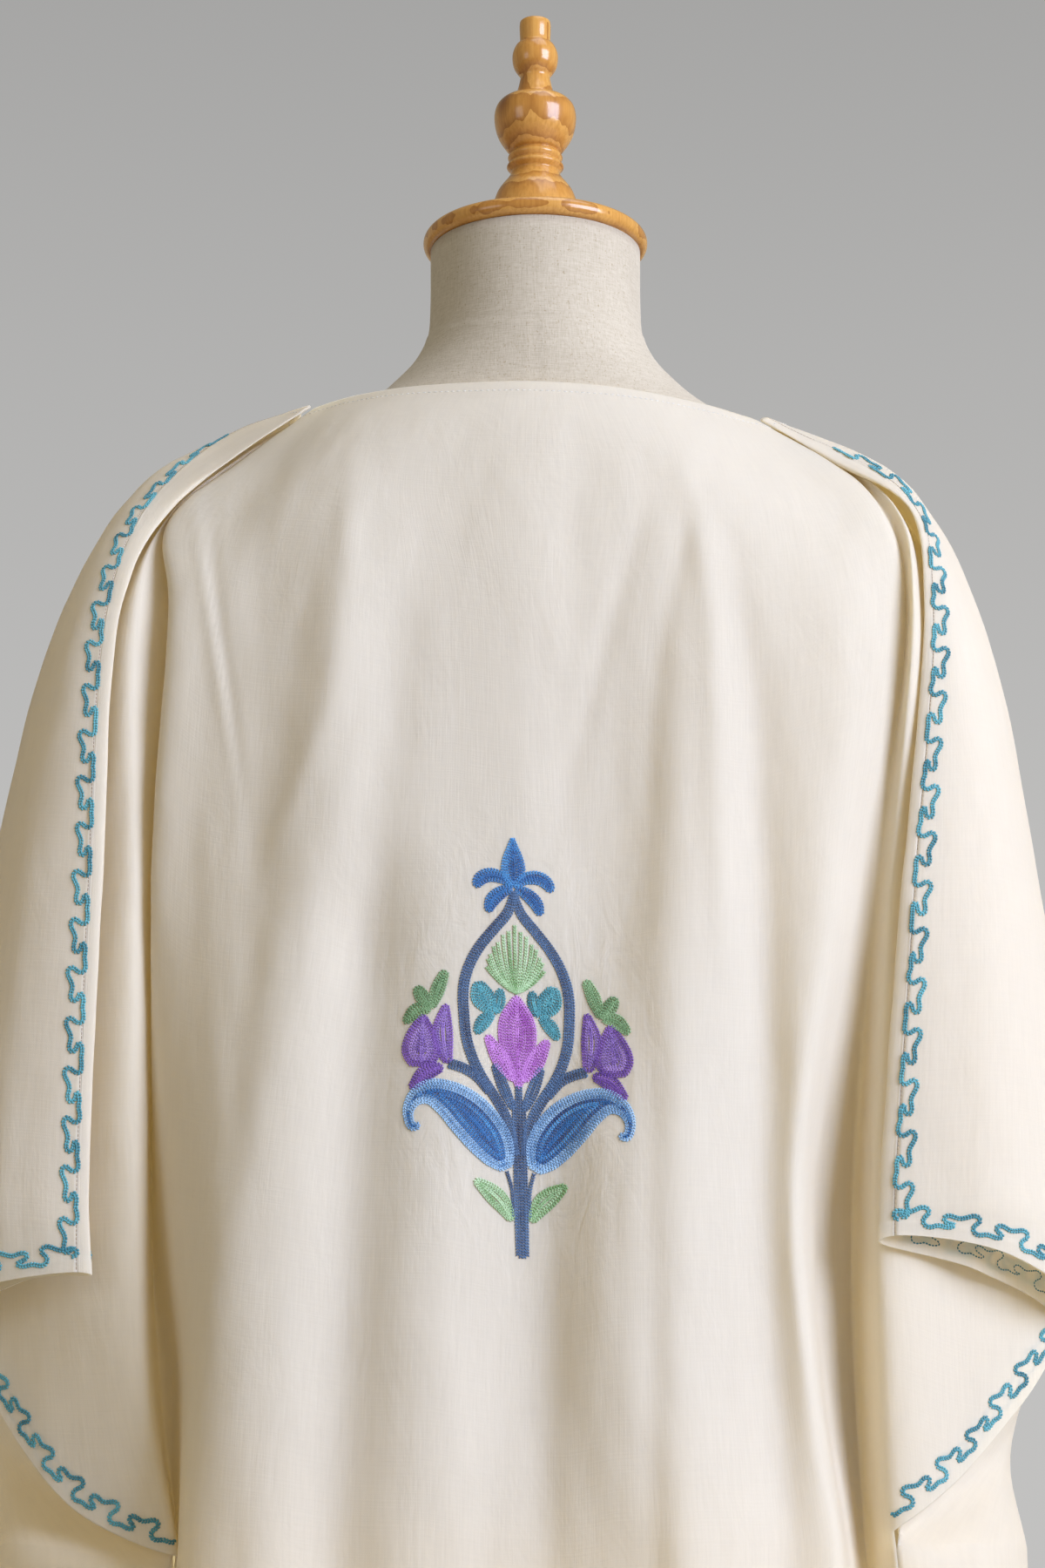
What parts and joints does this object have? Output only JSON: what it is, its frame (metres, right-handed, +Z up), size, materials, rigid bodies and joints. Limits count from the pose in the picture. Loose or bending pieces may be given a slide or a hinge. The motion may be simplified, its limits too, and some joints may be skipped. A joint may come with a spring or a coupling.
{
  "type": "kaftan on dress form",
  "caption": "Cream cotton kaftan with wide kimono-cut sleeves, embroidered in chain stitch, worn by a limbless linen dress form on a turned pine stand.",
  "frame": {"origin": "on the floor, at the centre of the underside of the stand's round base, under the pole", "axes": "+Z up along the pole, +Y towards the kaftan's back, +X towards the wearer's left sleeve seen from the back at the left"},
  "size_m": [0.5782, 0.3672, 1.6306],
  "materials": {
    "cotton": "matt plain-weave cotton, cream, embroidered in chain stitch",
    "linen": "matt flecked linen, beige",
    "pine": "turned pine, glossy varnish"
  },
  "bodies": {
    "root": {"kaftan_back": "cotton", "kaftan_front": "cotton", "form_torso": "linen", "form_neck_cap": "pine", "form_finial": "pine", "form_pole": "pine", "form_base": "pine"}
  },
  "joints": []
}
